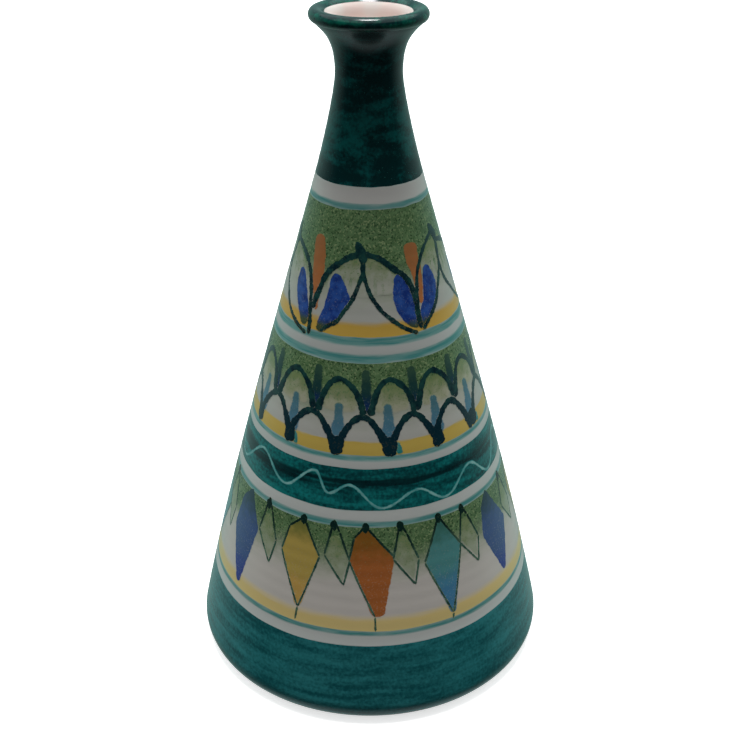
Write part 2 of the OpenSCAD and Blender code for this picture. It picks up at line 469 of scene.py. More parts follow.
class Shader:
    """A material or the world, with short calls that add and join its nodes."""

    def __init__(self, name, world=None):
        self.material = world or bpy.data.materials.new(name)
        self.material.use_nodes = True
        self.tree = self.material.node_tree
        self.tree.nodes.clear()
        kind = "Generated" if world else "Object"
        self.place = self.add("TexCoord").outputs[kind]
        parts = self.add("SeparateXYZ", Vector=self.place)
        self.z = self.math("MULTIPLY", parts.outputs["Z"], 1 / MM)

    def add(self, kind, **values):
        node = self.tree.nodes.new("ShaderNode" + kind)
        for name, value in values.items():
            self.feed(node.inputs[name], value)
        return node

    def feed(self, socket, value):
        if isinstance(value, bpy.types.NodeSocket):
            self.tree.links.new(value, socket)
        elif isinstance(value, tuple) and socket.type == "RGBA":
            socket.default_value = (*value, 1)
        else:
            socket.default_value = value

    def math(self, operation, *values):
        node = self.add("Math")
        node.operation = operation
        for socket, value in zip(node.inputs, values):
            self.feed(socket, value)
        return node.outputs[0]

    def plus(self, value, noise, size):
        """A value pushed up and down by a noise, by about size."""
        return self.math("MULTIPLY_ADD", self.math("SUBTRACT", noise, 0.5), size, value)

    def level(self, size, seed, strength):
        """Height in mm, pushed up and down by a noise."""
        return self.plus(self.z, self.noise(size, seed), strength)

    def reach(self, size, seed, strength):
        """Distance in mm from the edge of the paint, pushed in and out by a noise."""
        return self.plus(self.edge(), self.noise(size, seed), strength)

    def noise(self, size, seed, detail=2.0):
        """Noise with features of a size in mm, or of three sizes along X, Y and Z."""
        sizes = size if isinstance(size, tuple) else (size,) * 3
        mapping = self.add("Mapping", Vector=self.place)
        mapping.inputs["Scale"].default_value = [1 / (s * MM) for s in sizes]
        mapping.inputs["Location"].default_value = [seed * step for step in SEED_STEP]
        node = self.add("TexNoise", Vector=mapping.outputs[0], Scale=1.0, Detail=detail)
        return node.outputs["Fac"]

    def ramp(self, value, low, high):
        """0 at low and 1 at high, smooth between; low may be the greater."""
        node = self.add("MapRange", Value=value)
        node.interpolation_type = "SMOOTHSTEP"
        ends = {"From Min": low, "From Max": high}
        if low > high:
            ends = {"From Min": high, "From Max": low, "To Min": 1.0, "To Max": 0.0}
        for name, end in ends.items():
            node.inputs[name].default_value = end
        return node.outputs["Result"]

    def mix(self, amount, first, second):
        node = self.add("Mix")
        node.data_type = "RGBA"
        self.feed(node.inputs[0], amount)
        self.feed(node.inputs[6], first)
        self.feed(node.inputs[7], second)
        return node.outputs[2]

    def edge(self):
        node = self.add("Attribute")
        node.attribute_name = "edge"
        return node.outputs["Fac"]

    def finish(self, colour, roughness=0.11, bump=0.012, streaks=0.0):
        """The surface: least roughness, and depths in mm of orange peel and ridges."""
        peel = self.noise(PEEL, seed=11, detail=1.0)
        grain = self.noise(GRAIN, seed=12)
        height = self.math("MULTIPLY_ADD", grain, GRAIN_SHARE, peel)
        if streaks:
            ridges = self.noise(RIDGES, seed=13)
            height = self.math("MULTIPLY_ADD", ridges, streaks / bump, height)
        normal = self.add("Bump", Height=height, Distance=bump * MM)
        rough = self.math("MULTIPLY_ADD", self.noise(WORN, seed=14), ROUGHNESS_RANGE, roughness)
        shader = self.add("BsdfPrincipled", Roughness=rough, Normal=normal.outputs[0])
        self.feed(shader.inputs["Base Color"], colour)
        shader.inputs["IOR"].default_value = GLAZE_IOR
        self.add("OutputMaterial", Surface=shader.outputs[0])
        return self.material


# ------ Colours

LINE_WHITE = (0.51, 0.525, 0.505)
LINE_WHITE_LOW = (0.635, 0.65, 0.625)
LINE_WHITE_TOP = (0.59, 0.575, 0.55)
LINE_EDGE = (0.35, 0.47, 0.445)
WHITE = (0.48, 0.48, 0.44)
WARM_WHITE = (0.665, 0.61, 0.565)
OLIVE = (0.135, 0.235, 0.105)
OLIVE_SHADE = (0.09, 0.17, 0.07)
OLIVE_DEEP = (0.035, 0.080, 0.032)
OLIVE_FLECK = (0.26, 0.35, 0.17)
OLIVE_THIN = (0.34, 0.39, 0.26)
TEAL = (0.07, 0.27, 0.26)
TEAL_PALE = (0.16, 0.36, 0.34)
NECK_DARK = (0.001, 0.026, 0.028)
NECK_LIGHT = (0.004, 0.12, 0.115)
NECK_SPECK = (0.04, 0.19, 0.16)
RIM_LIGHT = (0.004, 0.13, 0.09)
FOOT_DARK = (0.004, 0.085, 0.095)
FOOT_LIGHT = (0.03, 0.235, 0.25)
WAVE_BLACK = (0.001, 0.014, 0.018)
WAVE_DARK = (0.001, 0.045, 0.05)
WAVE_LIGHT = (0.010, 0.23, 0.225)
WAVE_LINE = (0.25, 0.50, 0.48)
WAVE_LINE_THIN = (0.10, 0.34, 0.34)
INK = (0.003, 0.020, 0.028)
INK_THIN = (0.012, 0.062, 0.055)
INK_BLUE = (0.003, 0.025, 0.038)
INK_BLOB = (0.004, 0.022, 0.018)
OUTLINE_GREEN = (0.015, 0.065, 0.05)
OUTLINE_THIN = (0.09, 0.18, 0.12)
COBALT = (0.030, 0.095, 0.37)
COBALT_DEEP = (0.012, 0.040, 0.22)
BUD_ORANGE = (0.50, 0.175, 0.06)
BUD_BROWN = (0.37, 0.15, 0.055)
KITE_ORANGE = (0.43, 0.135, 0.035)
KITE_BROWN = (0.25, 0.105, 0.016)
KITE_GOLD = (0.60, 0.37, 0.10)
KITE_YELLOW = (0.50, 0.36, 0.09)
KITE_OLIVE = (0.19, 0.19, 0.045)
KITE_SKY = (0.07, 0.23, 0.40)
KITE_TEAL = (0.09, 0.28, 0.28)
KITE_GREEN = (0.05, 0.17, 0.14)
KITE_DEEP = (0.03, 0.05, 0.29)
KITE_BLUE = (0.055, 0.105, 0.26)
KITE_SLATE = (0.03, 0.065, 0.09)
WASH_TOP = (0.20, 0.26, 0.11)
WASH_LOW = (0.38, 0.42, 0.31)
WASH_CREAM = (0.46, 0.45, 0.33)
WASH_FAINT = (0.44, 0.45, 0.38)
LEAF_FOOT = (0.055, 0.085, 0.045)
SLATE = (0.012, 0.050, 0.050)
SLATE_BLUE = (0.006, 0.028, 0.11)
SLATE_GREEN = (0.035, 0.085, 0.055)
SKY = (0.085, 0.21, 0.30)
SKY_GREEN = (0.075, 0.185, 0.22)
LINING = (0.93, 0.86, 0.82)
LINING_PINK = (0.93, 0.78, 0.74)
CLAY = (0.66, 0.43, 0.28)
CLAY_DARK = (0.50, 0.29, 0.17)
CLAY_SPECK = (0.33, 0.17, 0.09)


# Heights between which the white grows lighter downwards, and the white lines upwards
WHITE_FADE = (120, 25)
LINE_FADE = (130, 165)
# How far the thinnest wash reaches below the end of the sponged one, in mm
THIN_REACH = 6
# Each frieze: where the wash is full and where it ends, the top of the yellow, how soft
# that is, and its colour
LEAF_ZONE = (149.5, 139.5, 132.0, 1.2, (0.64, 0.405, 0.08))
ARCH_ZONE = (113.0, 104.0, 96.0, 0.4, (0.62, 0.44, 0.10))
LOZENGE_ZONE = (64.0, 53.5, 39.0, 1.6, (0.775, 0.60, 0.25))


def white(s, high=WHITE, low=WARM_WHITE):
    """White glaze, a little lighter low on the body, with faint clouds in it."""
    return s.mix(s.ramp(s.level(14, 1, 30), *WHITE_FADE), high, low)


def olive(s):
    """Sponged green with darker and lighter grains."""
    blot = s.ramp(s.noise((3.6, 3.6, 1.8), seed=2, detail=3), 0.32, 0.68)
    colour = s.mix(blot, OLIVE_SHADE, OLIVE)
    deep = s.ramp(s.noise(0.6, seed=3, detail=1), 0.48, 0.33)
    colour = s.mix(deep, colour, OLIVE_DEEP)
    fleck = s.ramp(s.noise(0.65, seed=4, detail=1), 0.53, 0.72)
    return s.mix(fleck, colour, OLIVE_FLECK)


def ground(s, zone):
    """White glaze with a sponged wash thinning out from the top, and yellow at the bottom."""
    full, bare, yellow_top, soft, yellow = zone
    washed_to = s.level((8, 8, 5), 5, 8)
    streaked = s.plus(washed_to, s.noise((5, 5, 0.8), seed=8), 6)
    colour = s.mix(s.ramp(streaked, bare - THIN_REACH, full), white(s), OLIVE_THIN)
    grained = s.plus(washed_to, s.noise(0.5, seed=6), 4)
    colour = s.mix(s.ramp(grained, bare, full), colour, olive(s))
    band = s.level((9, 9, 1.5), 7, 1.6)
    return s.mix(s.ramp(band, yellow_top + soft, yellow_top - soft), colour, yellow)


# How paint lies: how ragged its edge is, how gradual, and how far in it starts, in mm.
# The last number, for ink on the arches, is how much the pale flecks take away
AS_FILL = (0.4, 0.4)
AS_DAB = (0.9, 0.6)
AS_WASH = (0.9, 0.9)
AS_MARK = (0.8, 0.5)
AS_INK = (0.6, 0.2, -0.1)
AS_ARCH_INK = (*AS_INK, 0.05)
AS_OUTLINE = (0.75, 0.25, -0.15)


def painted(name, zone, pigment, grain=0.5, soft=0.3, body=-0.05, flecked=0.16):
    """Paint over a frieze's ground, lying as above. Pigment is a function of the shader."""
    s = Shader(name)
    cover = s.ramp(s.reach(0.45, 21, grain), body, body + soft)
    fleck = s.ramp(s.noise(0.55, seed=25), 0.56, 0.70)
    cover = s.math("MULTIPLY", cover, s.math("MULTIPLY_ADD", fleck, -flecked, 1.0))
    return s.finish(s.mix(cover, ground(s, zone), pigment(s)))


def films(zone, items):
    """Films on one frieze: name, strokes, layer, and what painted is told beside the zone."""
    for name, strokes, layer, material, *manner in items:
        film(name, strokes, layer, painted(material, zone, *manner))


def tone(s, colour):
    """A plain colour as it is, or the socket that a pigment function makes."""
    return colour(s) if callable(colour) else colour


def by_height(low, low_colour, high, high_colour):
    """Pigment that changes with height, and is uneven as a brush leaves it."""

    def pigment(s):
        amount = s.ramp(s.level(2.5, 22, (high - low) * 0.8), low, high)
        return s.mix(amount, tone(s, low_colour), tone(s, high_colour))

    return pigment


def washed(low, high, pale=WASH_LOW):
    """A thin, grainy wash, paler at the bottom."""

    def pigment(s):
        amount = s.ramp(s.level(3, 26, (high - low) * 0.9), low, high)
        grain = s.ramp(s.noise(0.6, seed=27, detail=1), 0.46, 0.30)
        dense = s.math("MULTIPLY", grain, amount)
        return s.mix(dense, s.mix(amount, pale, WASH_TOP), OLIVE)

    return pigment


def pooled(dark, light):
    """Pigment in darker pools and thinner places."""

    def pigment(s):
        pool = s.ramp(s.noise(2.2, seed=23, detail=3), 0.32, 0.68)
        return s.mix(pool, dark, light)

    return pigment


# Heights over which glaze pools in the wave band's middle, the foot's round edge darkens,
# glaze pools at the neck's foot, and painted shade darkens the neck's top under the flare
POOL_ABOVE = (86.0, 83.6)
POOL_BELOW = (79.6, 81.6)
FOOT_DARKENING = (5.0, 1.5)
NECK_POOL = (SHOULDER_Z + 11, SHOULDER_Z + 5)
NECK_PAINTED_SHADE = (197, 182)


def streaky(name, dark, light, fine, low, high, shade):
    """Dark glaze with streaks round the vase.

    Fine is their thickness in mm; low and high are where they turn dark and light.
    """
    s = Shader(name)
    streak = s.noise((15, 15, fine), seed=31, detail=3)
    spot = s.noise(1.0, seed=32, detail=2)
    broad = s.noise((34, 34, 5), seed=38)
    amount = s.ramp(s.plus(s.plus(streak, spot, 0.7), broad, 0.5), low, high)
    return s.finish(shade(s, s.mix(amount, dark, light)), streaks=0.012)


def white_glaze():
    """White glaze, softly stained where it meets the green ones."""
    s = Shader("white_glaze")
    colour = white(s, LINE_WHITE, LINE_WHITE_LOW)
    colour = s.mix(s.ramp(s.z, *LINE_FADE), colour, LINE_WHITE_TOP)
    clean = s.ramp(s.reach((7, 7, 0.8), 43, 0.8), -0.3, 0.4)
    return s.finish(s.mix(clean, LINE_EDGE, colour))


def teal_glaze():
    """A thin line, feathered into the white at both edges."""
    s = Shader("teal_line_glaze")
    pool = s.ramp(s.noise((12, 12, 0.9), seed=42), 0.35, 0.65)
    cover = s.ramp(s.reach((7, 7, 0.8), 41, 1.2), -0.2, 0.7)
    return s.finish(s.mix(cover, LINE_EDGE, s.mix(pool, TEAL_PALE, TEAL)))


def frieze_glaze(name, zone):
    s = Shader(name)
    return s.finish(ground(s, zone))


def lining_glaze():
    s = Shader("lining_glaze")
    tint = s.ramp(s.noise(9, seed=51), 0.35, 0.65)
    return s.finish(s.mix(tint, LINING, LINING_PINK))


def bare_clay():
    s = Shader("bare_clay")
    speck = s.ramp(s.noise(0.6, seed=61), 0.62, 0.70)
    colour = s.mix(s.noise(7, seed=62, detail=4), CLAY_DARK, CLAY)
    return s.finish(s.mix(speck, colour, CLAY_SPECK), roughness=0.75, bump=0.05)


def wave_shade(s, colour):
    """The darkest pools run along the middle of the band."""
    level = s.level((22, 22, 3), 39, 5)
    middle = s.math("MULTIPLY", s.ramp(level, *POOL_ABOVE), s.ramp(level, *POOL_BELOW))
    pools = s.ramp(s.noise((26, 26, 3.0), seed=44, detail=4), 0.38, 0.56)
    dark = s.math("MULTIPLY", middle, pools)
    return s.mix(s.math("MULTIPLY", dark, 0.9), colour, WAVE_BLACK)


def foot_shade(s, colour):
    """The glaze is darkest low on the foot's round edge."""
    return s.mix(s.ramp(s.level((20, 20, 1.5), 33, 3), *FOOT_DARKENING), colour, FOOT_DARK)


def mottled(name, dark, light, size):
    """Dark glaze in wide soft blots with pale specks, pooled at the neck's foot."""
    s = Shader(name)
    blot = s.noise((size * 1.7, size * 1.7, size), seed=35, detail=4)
    band = s.noise((40, 40, size), seed=36, detail=2)
    grain = s.noise(0.9, seed=40)
    value = s.plus(s.plus(blot, band, 0.8), grain, 0.45)
    # Painted shade under the flare: the neck's colour is darker at its top, lighter lower down
    value = s.math("MULTIPLY_ADD", s.ramp(s.z, *NECK_PAINTED_SHADE), 0.09, value)
    value = s.math("MULTIPLY_ADD", s.ramp(s.z, *NECK_POOL), -0.2, value)
    amount = s.ramp(value, 0.34, 0.76)
    colour = s.mix(amount, dark, light)
    speck = s.ramp(s.noise(0.5, seed=37), 0.68, 0.76)
    return s.finish(s.mix(speck, colour, NECK_SPECK), streaks=0.006)


# ------ Coats of glaze

# The CAD nodes from the foot up, and their slots. Lines share the slot of their colour
SIDE_NODES = [
    "foot_band", "white_line_1", "teal_line_1", "lozenge_frieze", "teal_line_2", "white_line_2",
    "wave_band", "white_line_3", "teal_line_3", "arch_frieze", "teal_line_4", "white_line_4",
    "teal_line_5", "leaf_frieze", "teal_line_6", "white_line_5", "neck_glaze",
]
SIDE_SLOTS = {
    "foot_band": "foot_green", "lozenge_frieze": "lozenge_paint", "wave_band": "wave_green",
    "arch_frieze": "arch_paint", "leaf_frieze": "leaf_paint", "neck_glaze": "neck_green",
}
# How far the edges between coats wander, in mm, and the first one's seed
EDGE_WOBBLE = 0.055
EDGE_SEED = 100
# The foot's edge is this much inside the CAD's, which has fewer facets
EDGE_IN = 0.03


def band_edge(number):
    """Height of the wandering edge over the band of this number, for every angle."""
    z = top_of(SIDE_NODES[number])
    if number == len(SIDE_NODES) - 1:
        return np.full(SEGMENTS, z)
    return z + wobble(ANGLES, EDGE_SEED + number, EDGE_WOBBLE)


def glaze_materials():
    return {
        "foot_green": streaky("foot_glaze", FOOT_DARK, FOOT_LIGHT, 2.0, 0.16, 0.86, foot_shade),
        "wave_green": streaky(
            "wave_band_glaze", WAVE_DARK, WAVE_LIGHT, 2.2, 0.18, 0.82, wave_shade
        ),
        "neck_green": mottled("neck_glaze_green", NECK_DARK, NECK_LIGHT, 3.6),
        "white_line": white_glaze(),
        "teal_line": teal_glaze(),
        "lozenge_paint": frieze_glaze("lozenge_ground", LOZENGE_ZONE),
        "arch_paint": frieze_glaze("arch_ground", ARCH_ZONE),
        "leaf_paint": frieze_glaze("leaf_ground", LEAF_ZONE),
    }


def make_coats():
    """Every coat of glaze on the side, from the foot to the bead of the rim."""
    materials = glaze_materials()
    edge = arc(EDGE_C, EDGE_R - EDGE_IN, WIPE_ANGLE, SIDE_ANGLE, ROUND_STEPS)
    foot = [spin(r, z) for r, z in edge[:-1]]
    low = np.full(SEGMENTS, EDGE_TOP)
    for number, node in enumerate(SIDE_NODES):
        slot = SIDE_SLOTS.get(node, node[:-2])
        high = band_edge(number)
        side_ring(node, low, high, materials[slot], foot if number == 0 else ())
        low = high


def make_rim():
    bead = arc(BEAD_C, BEAD_R, BEAD_START, CROWN, BEAD_STEPS)
    crown = arc(LIP_C, LIP_R, CROWN, GREEN_END, LIP_STEPS)[1:]
    material = mottled("rim_glaze_green", NECK_DARK, RIM_LIGHT, 2.2)
    lathe_ring("rim_glaze", np.vstack([bead, crown]), COAT_T, material)


def make_lining():
    piece = lathe_ring("inner_glaze", inner_side(), -COAT_T, lining_glaze())
    weld_axis(piece)
    piece.data.flip_normals()


def dress_clay():
    clay = bare_clay()
    for node in ("base_slab", "body_wall", "neck_collar", "rim_roll"):
        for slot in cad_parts[node].material_slots:
            slot.material = clay


# ------ Frieze of leaves
# Each figure is drawn about its own centre line. The two hands of the figure alternate

LEAF_FIGURES = [(-39, "a"), (33, "b"), (105, "a"), (177, "b"), (-111, "b")]
LEAF_ARCS = {
    "a": [
        [(-39, 152), (-26, 150.5), (-17, 148.5), (-11, 146), (-7, 142.5), (-4.5, 138.5),
         (-3, 134), (-1.5, 130), (-1, 126)],
        [(34, 152.5), (23, 151), (16, 149), (10, 147), (5, 144), (3, 141), (0.5, 137.5), (-1, 134)],
    ],
    "b": [
        [(-38, 152.5), (-26, 151), (-19, 149), (-13, 147), (-8, 145.5), (-4, 143), (-1.5, 140),
         (-0.5, 136), (0, 132), (1, 128.5)],
        [(33, 156), (29, 155.2), (23, 154), (16, 152), (11, 150), (7, 147.5), (4, 145), (2, 141),
         (0, 133)],
    ],
}
# Half-widths of the two arcs of each figure, and of every stem
LEAF_ARC_HALF = {"a": (0.78, 0.95), "b": (0.92, 0.62)}
STEM_HALF = 0.68
LEAF_STEMS = {
    "a": [
        [(-39, 152), (-41, 146), (-39, 140), (-31, 135), (-23, 131), (-13, 128), (-3, 126)],
        [(34, 152), (34.3, 147), (32, 144), (27, 138.5), (22, 135), (18, 132), (12, 130), (7, 128)],
    ],
    "b": [
        [(-38, 152), (-37.7, 147), (-33, 141), (-29, 138), (-24, 135), (-18, 132.5), (-13, 130.5),
         (-8, 129), (-2, 127.5)],
        [(33, 155), (33, 150), (31, 146), (27, 142.5), (22, 139), (17, 135), (11, 132), (5, 129.5),
         (2, 128)],
    ],
}
LEAF_PETALS = {
    "a": [
        [(144.6, -20, -16), (143.4, -21.5, -14), (140, -22, -9.5), (136, -19, -6), (132.4, -14, -3),
         (130.5, -11.5, -3), (128.2, -8, -4)],
        [(146, 12, 17), (144.6, 10.5, 19.5), (142, 9.7, 23), (139.4, 9, 26.5), (137, 8.4, 27),
         (135.2, 7.4, 24), (133.4, 6, 20), (131.6, 4.6, 16), (129.6, 3.6, 12.5), (127.8, 4, 10.5)],
    ],
    "b": [
        [(146, -14, -8), (144.6, -15.5, -5), (142, -16.5, -2), (139, -17.5, -1), (136, -15.5, -1),
         (133, -13, -1), (130.6, -9, -1), (129, -4, 0)],
        [(146.6, 11, 16), (145.4, 9.5, 17.5), (143, 8, 19.5), (140, 7, 21), (137, 5, 19.5),
         (134, 2, 17), (132, 1, 13), (129.6, 0, 6), (128.4, 1, 4)],
    ],
}
LEAF_BUDS = {
    "a": [(156.2, -8.5, -1), (155, -10.5, 0.8), (151, -9.5, 3), (146, -7.5, 4.5), (142, -5.5, 4),
          (138, -2.5, 3.5), (135, -0.5, 3.2), (133.8, 0.5, 2.5)],
    "b": [(154.4, -4, 6.5), (153, -5.5, 8), (149, -4.5, 7.8), (147, -2, 8.4), (144, -0.5, 8.2),
          (140, 0.5, 7.2), (137, 1.5, 6), (135.8, 2.5, 5)],
}
# The blob on a peak where two arcs meet, the wash under the first peak, and where every
# peak is
PEAK_BLOB = [(0.4, -7.5, -3), (-1.2, -6.5, 0.5), (-2.4, -6, 4), (-4, -4, 4.5), (-6, -1.6, 2)]
LEAF_INSIDE = [(151.4, -11, 8), (149.6, -17, 14), (147.5, -22, 20), (145, -26, 26),
               (142, -27, 28), (139.5, -24, 25)]
PEAKS = [(-5, 155.4), (66, 157.2), (138, 155.6), (-147, 156), (-78, 155.2)]


def shifted(points, angle):
    return [(a + angle, z) for a, z in points]


def turned(rows, angle):
    return [(z, left + angle, right + angle) for z, left, right in rows]


def make_leaves():
    rng = np.random.default_rng(5)
    arcs, stems, petals, buds, washes = [], [], [], [], []
    for centre, hand in LEAF_FIGURES:
        for p, half_width in zip(LEAF_ARCS[hand], LEAF_ARC_HALF[hand]):
            arcs.append(line(shifted(p, centre), half_width, rng))
        stems += [line(shifted(p, centre), STEM_HALF, rng) for p in LEAF_STEMS[hand]]
        petals += [patch(turned(p, centre), rng) for p in LEAF_PETALS[hand]]
        buds.append(patch(turned(LEAF_BUDS[hand], centre), rng))
    for angle, z in PEAKS:
        arcs.append(patch([(z + rise, angle + a, angle + b) for rise, a, b in PEAK_BLOB], rng))
        rise = z - PEAKS[0][1]
        washes.append(patch([(h + rise, angle + a, angle + b) for h, a, b in LEAF_INSIDE], rng))
    ink = pooled(INK, INK_THIN)
    orange = by_height(134, BUD_ORANGE, 156, BUD_BROWN)
    cobalt = by_height(129.5, LEAF_FOOT, 132.5, pooled(COBALT_DEEP, COBALT))
    films(LEAF_ZONE, [
        ("leaf_washes", washes, 0, "leaf_wash", washed(141, 153, WASH_FAINT), *AS_WASH),
        ("leaf_petals", petals, 1, "petal_blue", cobalt),
        ("leaf_buds", buds, 1, "bud_orange", orange),
        ("leaf_stems", stems, 2, "stem_ink", ink, *AS_INK),
        ("leaf_arcs", arcs, 3, "leaf_ink", ink, *AS_INK),
    ])


# ------ Frieze of arches

ARCH_COUNT = 14
UPPER_ARCH = [(-11.3, 104.1), (-9.5, 107.8), (-7.7, 111), (-4.5, 113.8), (0, 115),
              (4.5, 113.8), (8.8, 111.3), (11.4, 108), (13, 104.3)]
LOWER_ARCH = [(-13, 91.9), (-12.2, 95), (-10.7, 98), (-8.2, 100.7), (-5, 103), (-0.5, 104.2),
              (3.6, 103), (6.6, 100.6), (9.3, 98), (11.2, 95), (12.7, 91.9)]
UPPER_INSIDE = [(113.8, -3.4, 3.6), (112, -6, 6.6), (109.6, -7.6, 9), (107, -9, 10.4),
                (104.6, -8, 9)]
SLATE_DAB = [(118.4, -2.2, 2.0), (117, -2.9, 2.7), (111, -3, 3.2), (107.5, -3.6, 4),
             (104.6, -2, 2.4)]
SKY_DAB = [(107.8, -2.3, 2.2), (105, -2.5, 2.6), (102, -2.8, 3.0), (99.5, -4, 4),
           (97, -4.8, 4.6), (94.5, -2.6, 2.6)]
ARCH_FOOT = [(97.5, -1.6, 1.6), (95.4, -3.2, 2.8), (93.2, -3.8, 3.2), (91.8, -1.6, 3)]
ARCH_MARK = [(95.8, 1.6, 4.6), (94, 1.8, 5.6), (91.7, 3, 6.6)]
# Half-widths of the two rows' lines, and how many times wider they are at their ends
UPPER_HALF, LOWER_HALF, ARCH_SWELL = 0.85, 1.0, 1.6
# How much the arches vary in height, in mm, and in width, as a share
ARCH_RISE, ARCH_STRETCH = 0.35, 0.03
# How far right of the middle a dab lands, and how much that varies, in degrees
DAB_DRIFT = (0.5, 0.8)
# Where the front arches stand; the rest are spread evenly
UPPER_FRONT = [-71, -43, -16, 11, 36, 61]
LOWER_FRONT = [-54, -29, -3, 22, 45, 74]


def spread(front, count):
    """The front angles, and enough more to fill the circle evenly."""
    rest = count - len(front)
    gap = (360 - front[-1] + front[0]) / (rest + 1)
    return front + [front[-1] + gap * (i + 1) for i in range(rest)]


def between(angles):
    """The middles of the gaps between angles that go once round."""
    return [(a + b) / 2 for a, b in zip(angles, angles[1:] + [angles[0] + 360])]


def make_arches():
    rng = np.random.default_rng(7)
    upper, lower = spread(UPPER_FRONT, ARCH_COUNT), spread(LOWER_FRONT, ARCH_COUNT)
    arches, washes = [], []
    rows = ((UPPER_ARCH, upper, UPPER_HALF), (LOWER_ARCH, lower, LOWER_HALF))
    for shape, angles, half_width in rows:
        for angle in angles:
            rise = rng.normal(0, ARCH_RISE)
            stretch = 1 + rng.normal(0, ARCH_STRETCH)
            points = [(angle + a * stretch, z + rise) for a, z in shape]
            arches.append(line(points, half_width, rng, swell=ARCH_SWELL))
            if shape is UPPER_ARCH:
                washes.append(patch(turned(UPPER_INSIDE, angle), rng))
    slates, skies, marks = [], [], []
    for angle in between(upper):
        a = angle + rng.normal(*DAB_DRIFT)
        slates.append(patch(turned(SLATE_DAB, a), rng))
    for angle in between(lower):
        a = angle + rng.normal(*DAB_DRIFT)
        skies.append(patch(turned(SKY_DAB, a), rng))
        arches.append(patch(turned(ARCH_FOOT, a), rng))
    for angle in between(lower)[::2]:
        marks.append(patch(turned(ARCH_MARK, angle), rng))
    ink = by_height(98, INK_BLUE, 106, pooled(INK, INK_THIN))
    slate = by_height(106, SLATE_BLUE, 111, by_height(111, SLATE, 118, SLATE_GREEN))
    sky = by_height(98, SKY, 108, SKY_GREEN)
    films(ARCH_ZONE, [
        ("arch_washes", washes, 0, "arch_wash", washed(104, 113, WASH_CREAM), *AS_WASH),
        ("arch_slate_dabs", slates, 1, "dab_slate", slate, *AS_DAB),
        ("arch_blue_dabs", skies, 1, "dab_blue", sky, *AS_DAB),
        ("arch_marks", marks, 1, "mark_teal", pooled(TEAL, WAVE_LIGHT), *AS_MARK),
        ("arch_lines", arches, 2, "arch_ink", ink, *AS_ARCH_INK),
    ])


# ------ Wave

# Turning points of the wave that show at the front; behind, it swings evenly
WAVE_TURNS = [(-74, 76.3), (-56.5, 84.8), (-39.5, 78.1), (-24.8, 85.4), (-18, 79.1), (-9, 82.4),
              (5, 75.2), (21, 79.8), (33.5, 74.9), (49.5, 81.6), (63, 74.9), (80, 83.4)]
WAVE_BACK = 12
# Behind: the wave's mean height, how much that varies, and how far it swings
WAVE_MIDDLE, WAVE_VARIES, WAVE_SWING = 79.4, 0.7, 3.3
WAVE_HALF = 0.5
WAVE_STEPS = 6


def make_wave():
    rng = np.random.default_rng(9)
    turns = list(WAVE_TURNS)
    gap = (360 + turns[0][0] - turns[-1][0]) / (WAVE_BACK + 1)
    swing = WAVE_SWING
    for _ in range(WAVE_BACK):
        swing = -swing
        middle = WAVE_MIDDLE + rng.normal(0, WAVE_VARIES)
        turns.append((turns[-1][0] + gap, middle + swing))
    turns.append((turns[0][0] + 360, turns[0][1]))
    points = []
    for (a, z), (b, y) in zip(turns, turns[1:]):
        for t in np.linspace(0, 1, WAVE_STEPS, endpoint=False):
            ease = (1 - math.cos(math.pi * t)) / 2
            points.append((a + (b - a) * t, z + (y - z) * ease))
    points.append(turns[-1])
    strokes = [line(points, WAVE_HALF, rng, THIN_COLUMNS)]
    film("wave_line", strokes, 0, wave_line_glaze())


def wave_line_glaze():
    s = Shader("wave_line_glaze")
    pool = s.ramp(s.noise(4, seed=24), 0.35, 0.65)
    cover = s.ramp(s.reach(0.9, 21, 0.5), 0.0, 0.35)
    return s.finish(s.mix(cover, WAVE_LIGHT, s.mix(pool, WAVE_LINE, WAVE_LINE_THIN)))


# ------ Frieze of lozenges
# Each lozenge by the angle of its top and its corners: left, right, foot and stem

LOZENGE_COLOURS = ["blue", "yellow", "orange", "turquoise"]
LOZENGES = [
    (-58, (-9, 54.5), (8.5, 58.5), (1.5, 36.2), (1.2, 33.6)),
    (-27.5, (-8.5, 57), (8, 58), (1, 39.5), (0.5, 35)),
    (-1.8, (-6.2, 58), (11.3, 59), (3.5, 39.4), (3.6, 34.6)),
    (28.5, (-7.5, 55.5), (9, 58), (2, 36), (1.6, 34)),
    (56.5, (-7, 55.5), (11.5, 55.5), (3, 39), (2.4, 35)),
]
LOZENGE_TOP = 69.6
LOZENGE_COUNT = 12
OPEN_LEFT = [(0, 70.8), (-3.2, 59), (4.7, 49.8)]
OPEN_RIGHT = [(0, 70.8), (2.5, 67), (6.8, 58), (4.7, 49.6)]
OPEN_INSIDE = [(66, -0.8, 2.4), (62, -2, 4.6), (58.5, -2.8, 6.2), (54, 1, 5.6), (50.6, 4, 5)]
# Where the front's open lozenges have their tops; the rest are spread evenly
OPEN_FRONT = [-46, -14.5, 12, 40.3]

# The dark blob where the brush was set down at a lozenge's top
TOP_BLOB = [(70.6, -1.3, 1.1), (69.4, -1.7, 1.6), (68.2, -1.3, 1.4), (67.2, -0.4, 0.7)]
THIN_LINE = 0.37
# Half as wide as a lozenge's top, and how far left and right of its foot the paint goes,
# which ran further in the orange ones, in degrees
BLUNT_TOP, FOOT_SIDE, FOOT_RAN = 0.6, 1.0, 3.2
# How much the open lozenges vary in height, in mm
OPEN_RISE = 0.4
# The upper left edge bulges: how far out it is at a height, as a share of the left corner
SHOULDER = (0.72, 65.5)


def all_lozenges():
    """The lozenges at the front, and behind them more in the shapes of the last four."""
    front = [item[0] for item in LOZENGES]
    found = []
    for i, angle in enumerate(spread(front, LOZENGE_COUNT)):
        shape = LOZENGES[i] if i < len(front) else LOZENGES[i % 4 + 1]
        found.append((angle, LOZENGE_COLOURS[i % 4], *shape[1:]))
    return found


